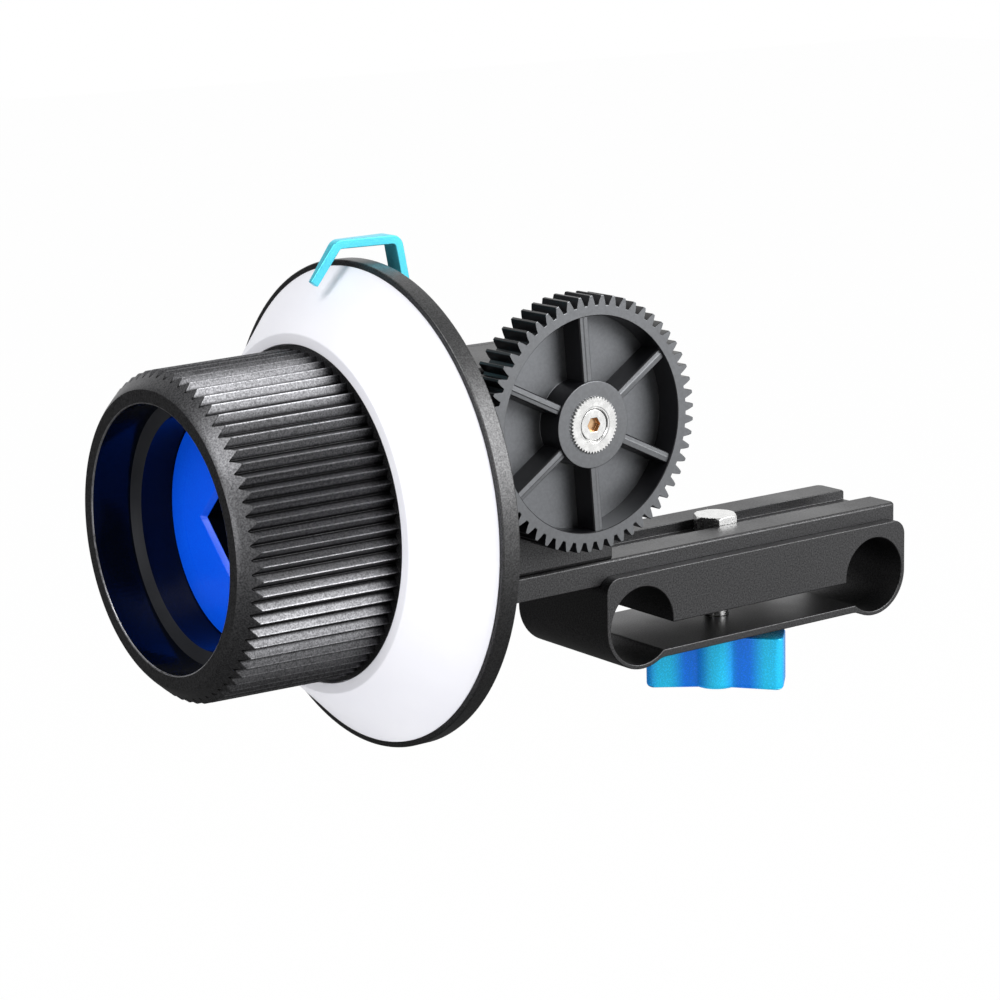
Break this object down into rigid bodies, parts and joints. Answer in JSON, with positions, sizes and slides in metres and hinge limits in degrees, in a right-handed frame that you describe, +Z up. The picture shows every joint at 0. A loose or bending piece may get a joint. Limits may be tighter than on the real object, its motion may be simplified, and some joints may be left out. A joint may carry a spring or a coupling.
{
  "type": "follow focus unit",
  "caption": "Follow focus unit: a ridged hand knob with marking dial and pointer drives a lens gear through a gearbox on an arm held by a rod clamp.",
  "frame": {"origin": "midway between the two rod axes, in the front face of the rod clamp", "axes": "+Y along the rods to the rear, +X along the arm away from the hand knob, +Z up from the rods to the arm"},
  "size_m": [0.1634, 0.0884, 0.0975],
  "materials": {
    "black_anodised": "bead-blasted black anodised",
    "cyan_anodised": "bright blue anodised",
    "blue_anodised": "bright deep blue anodised",
    "white_dial": "smooth white, can be written on",
    "gear_plastic": "satin black moulded plastic",
    "washer_plastic": "plain bearing plastic",
    "steel": "turned",
    "bright_steel": "nickel plated",
    "brass": "machined"
  },
  "bodies": {
    "rod_clamp": {"clamp": "black_anodised", "clamp_bolt": "bright_steel"},
    "thumb_washer": {"clamp_washer": "steel"},
    "thumb_knob": {"thumb_knob": "cyan_anodised", "thumb_knob_insert": "brass"},
    "arm": {"arm_bar": "black_anodised", "arm_screw_1": "steel", "arm_screw_2": "steel", "cover_screw_1": "steel", "cover_screw_2": "steel", "cover_screw_3": "steel", "cover_screw_4": "steel", "gearbox_cover": "black_anodised", "gearbox_housing": "black_anodised", "knob_bush_inner": "brass", "knob_bush_outer": "brass", "output_bush": "brass", "pointer": "cyan_anodised", "pointer_screw_1": "steel", "pointer_screw_2": "steel"},
    "knob": {"crank_socket": "blue_anodised", "dial_backplate": "black_anodised", "hand_knob": "black_anodised", "hub_pin": "steel", "hub_screw_1": "steel", "hub_screw_2": "steel", "hub_screw_3": "steel", "hub_screw_4": "steel", "knob_clip": "steel", "knob_grub_screw": "steel", "knob_mitre_gear": "brass", "knob_shaft": "steel", "knob_thrust_washer": "washer_plastic", "marking_dial": "white_dial"},
    "idler": {"idler_shaft": "steel", "idler_mitre_gear": "brass", "idler_spur_gear": "brass", "idler_clip": "steel"},
    "output": {"output_shaft": "steel", "output_spur_gear": "brass", "output_clip": "steel", "drive_gear": "gear_plastic", "gear_nut": "bright_steel", "gear_screw": "steel", "gear_spacer": "steel"}
  },
  "joints": [
    {"name": "thumb_travel", "type": "slide", "parent": "rod_clamp", "child": "thumb_washer", "axis": [0, 0, 1], "range_m": [-0.0016, 0]},
    {"name": "thumb_turn", "type": "hinge", "parent": "thumb_washer", "child": "thumb_knob", "pos_m": [0, 0.014, -0.0095], "axis": [0, 0, 1], "range_deg": [-721, 0]},
    {"name": "arm_slide", "type": "slide", "parent": "rod_clamp", "child": "arm", "axis": [1, 0, 0], "range_m": [-0.029, 0.026]},
    {"name": "knob_spin", "type": "hinge", "parent": "arm", "child": "knob", "pos_m": [-0.078, 0.014, 0.0292], "axis": [1, 0, 0], "continuous": true},
    {"name": "idler_spin", "type": "hinge", "parent": "arm", "child": "idler", "pos_m": [-0.0459, 0.014, 0.0292], "axis": [0, 1, 0], "continuous": true},
    {"name": "output_spin", "type": "hinge", "parent": "arm", "child": "output", "pos_m": [-0.0459, 0, 0.0417], "axis": [0, 1, 0], "continuous": true}
  ],
  "couplings": [
    {"joint": "thumb_turn", "follows": "thumb_travel", "rad_per_m": 7854},
    {"joint": "idler_spin", "follows": "knob_spin", "ratio": 1},
    {"joint": "output_spin", "follows": "knob_spin", "ratio": -1}
  ]
}
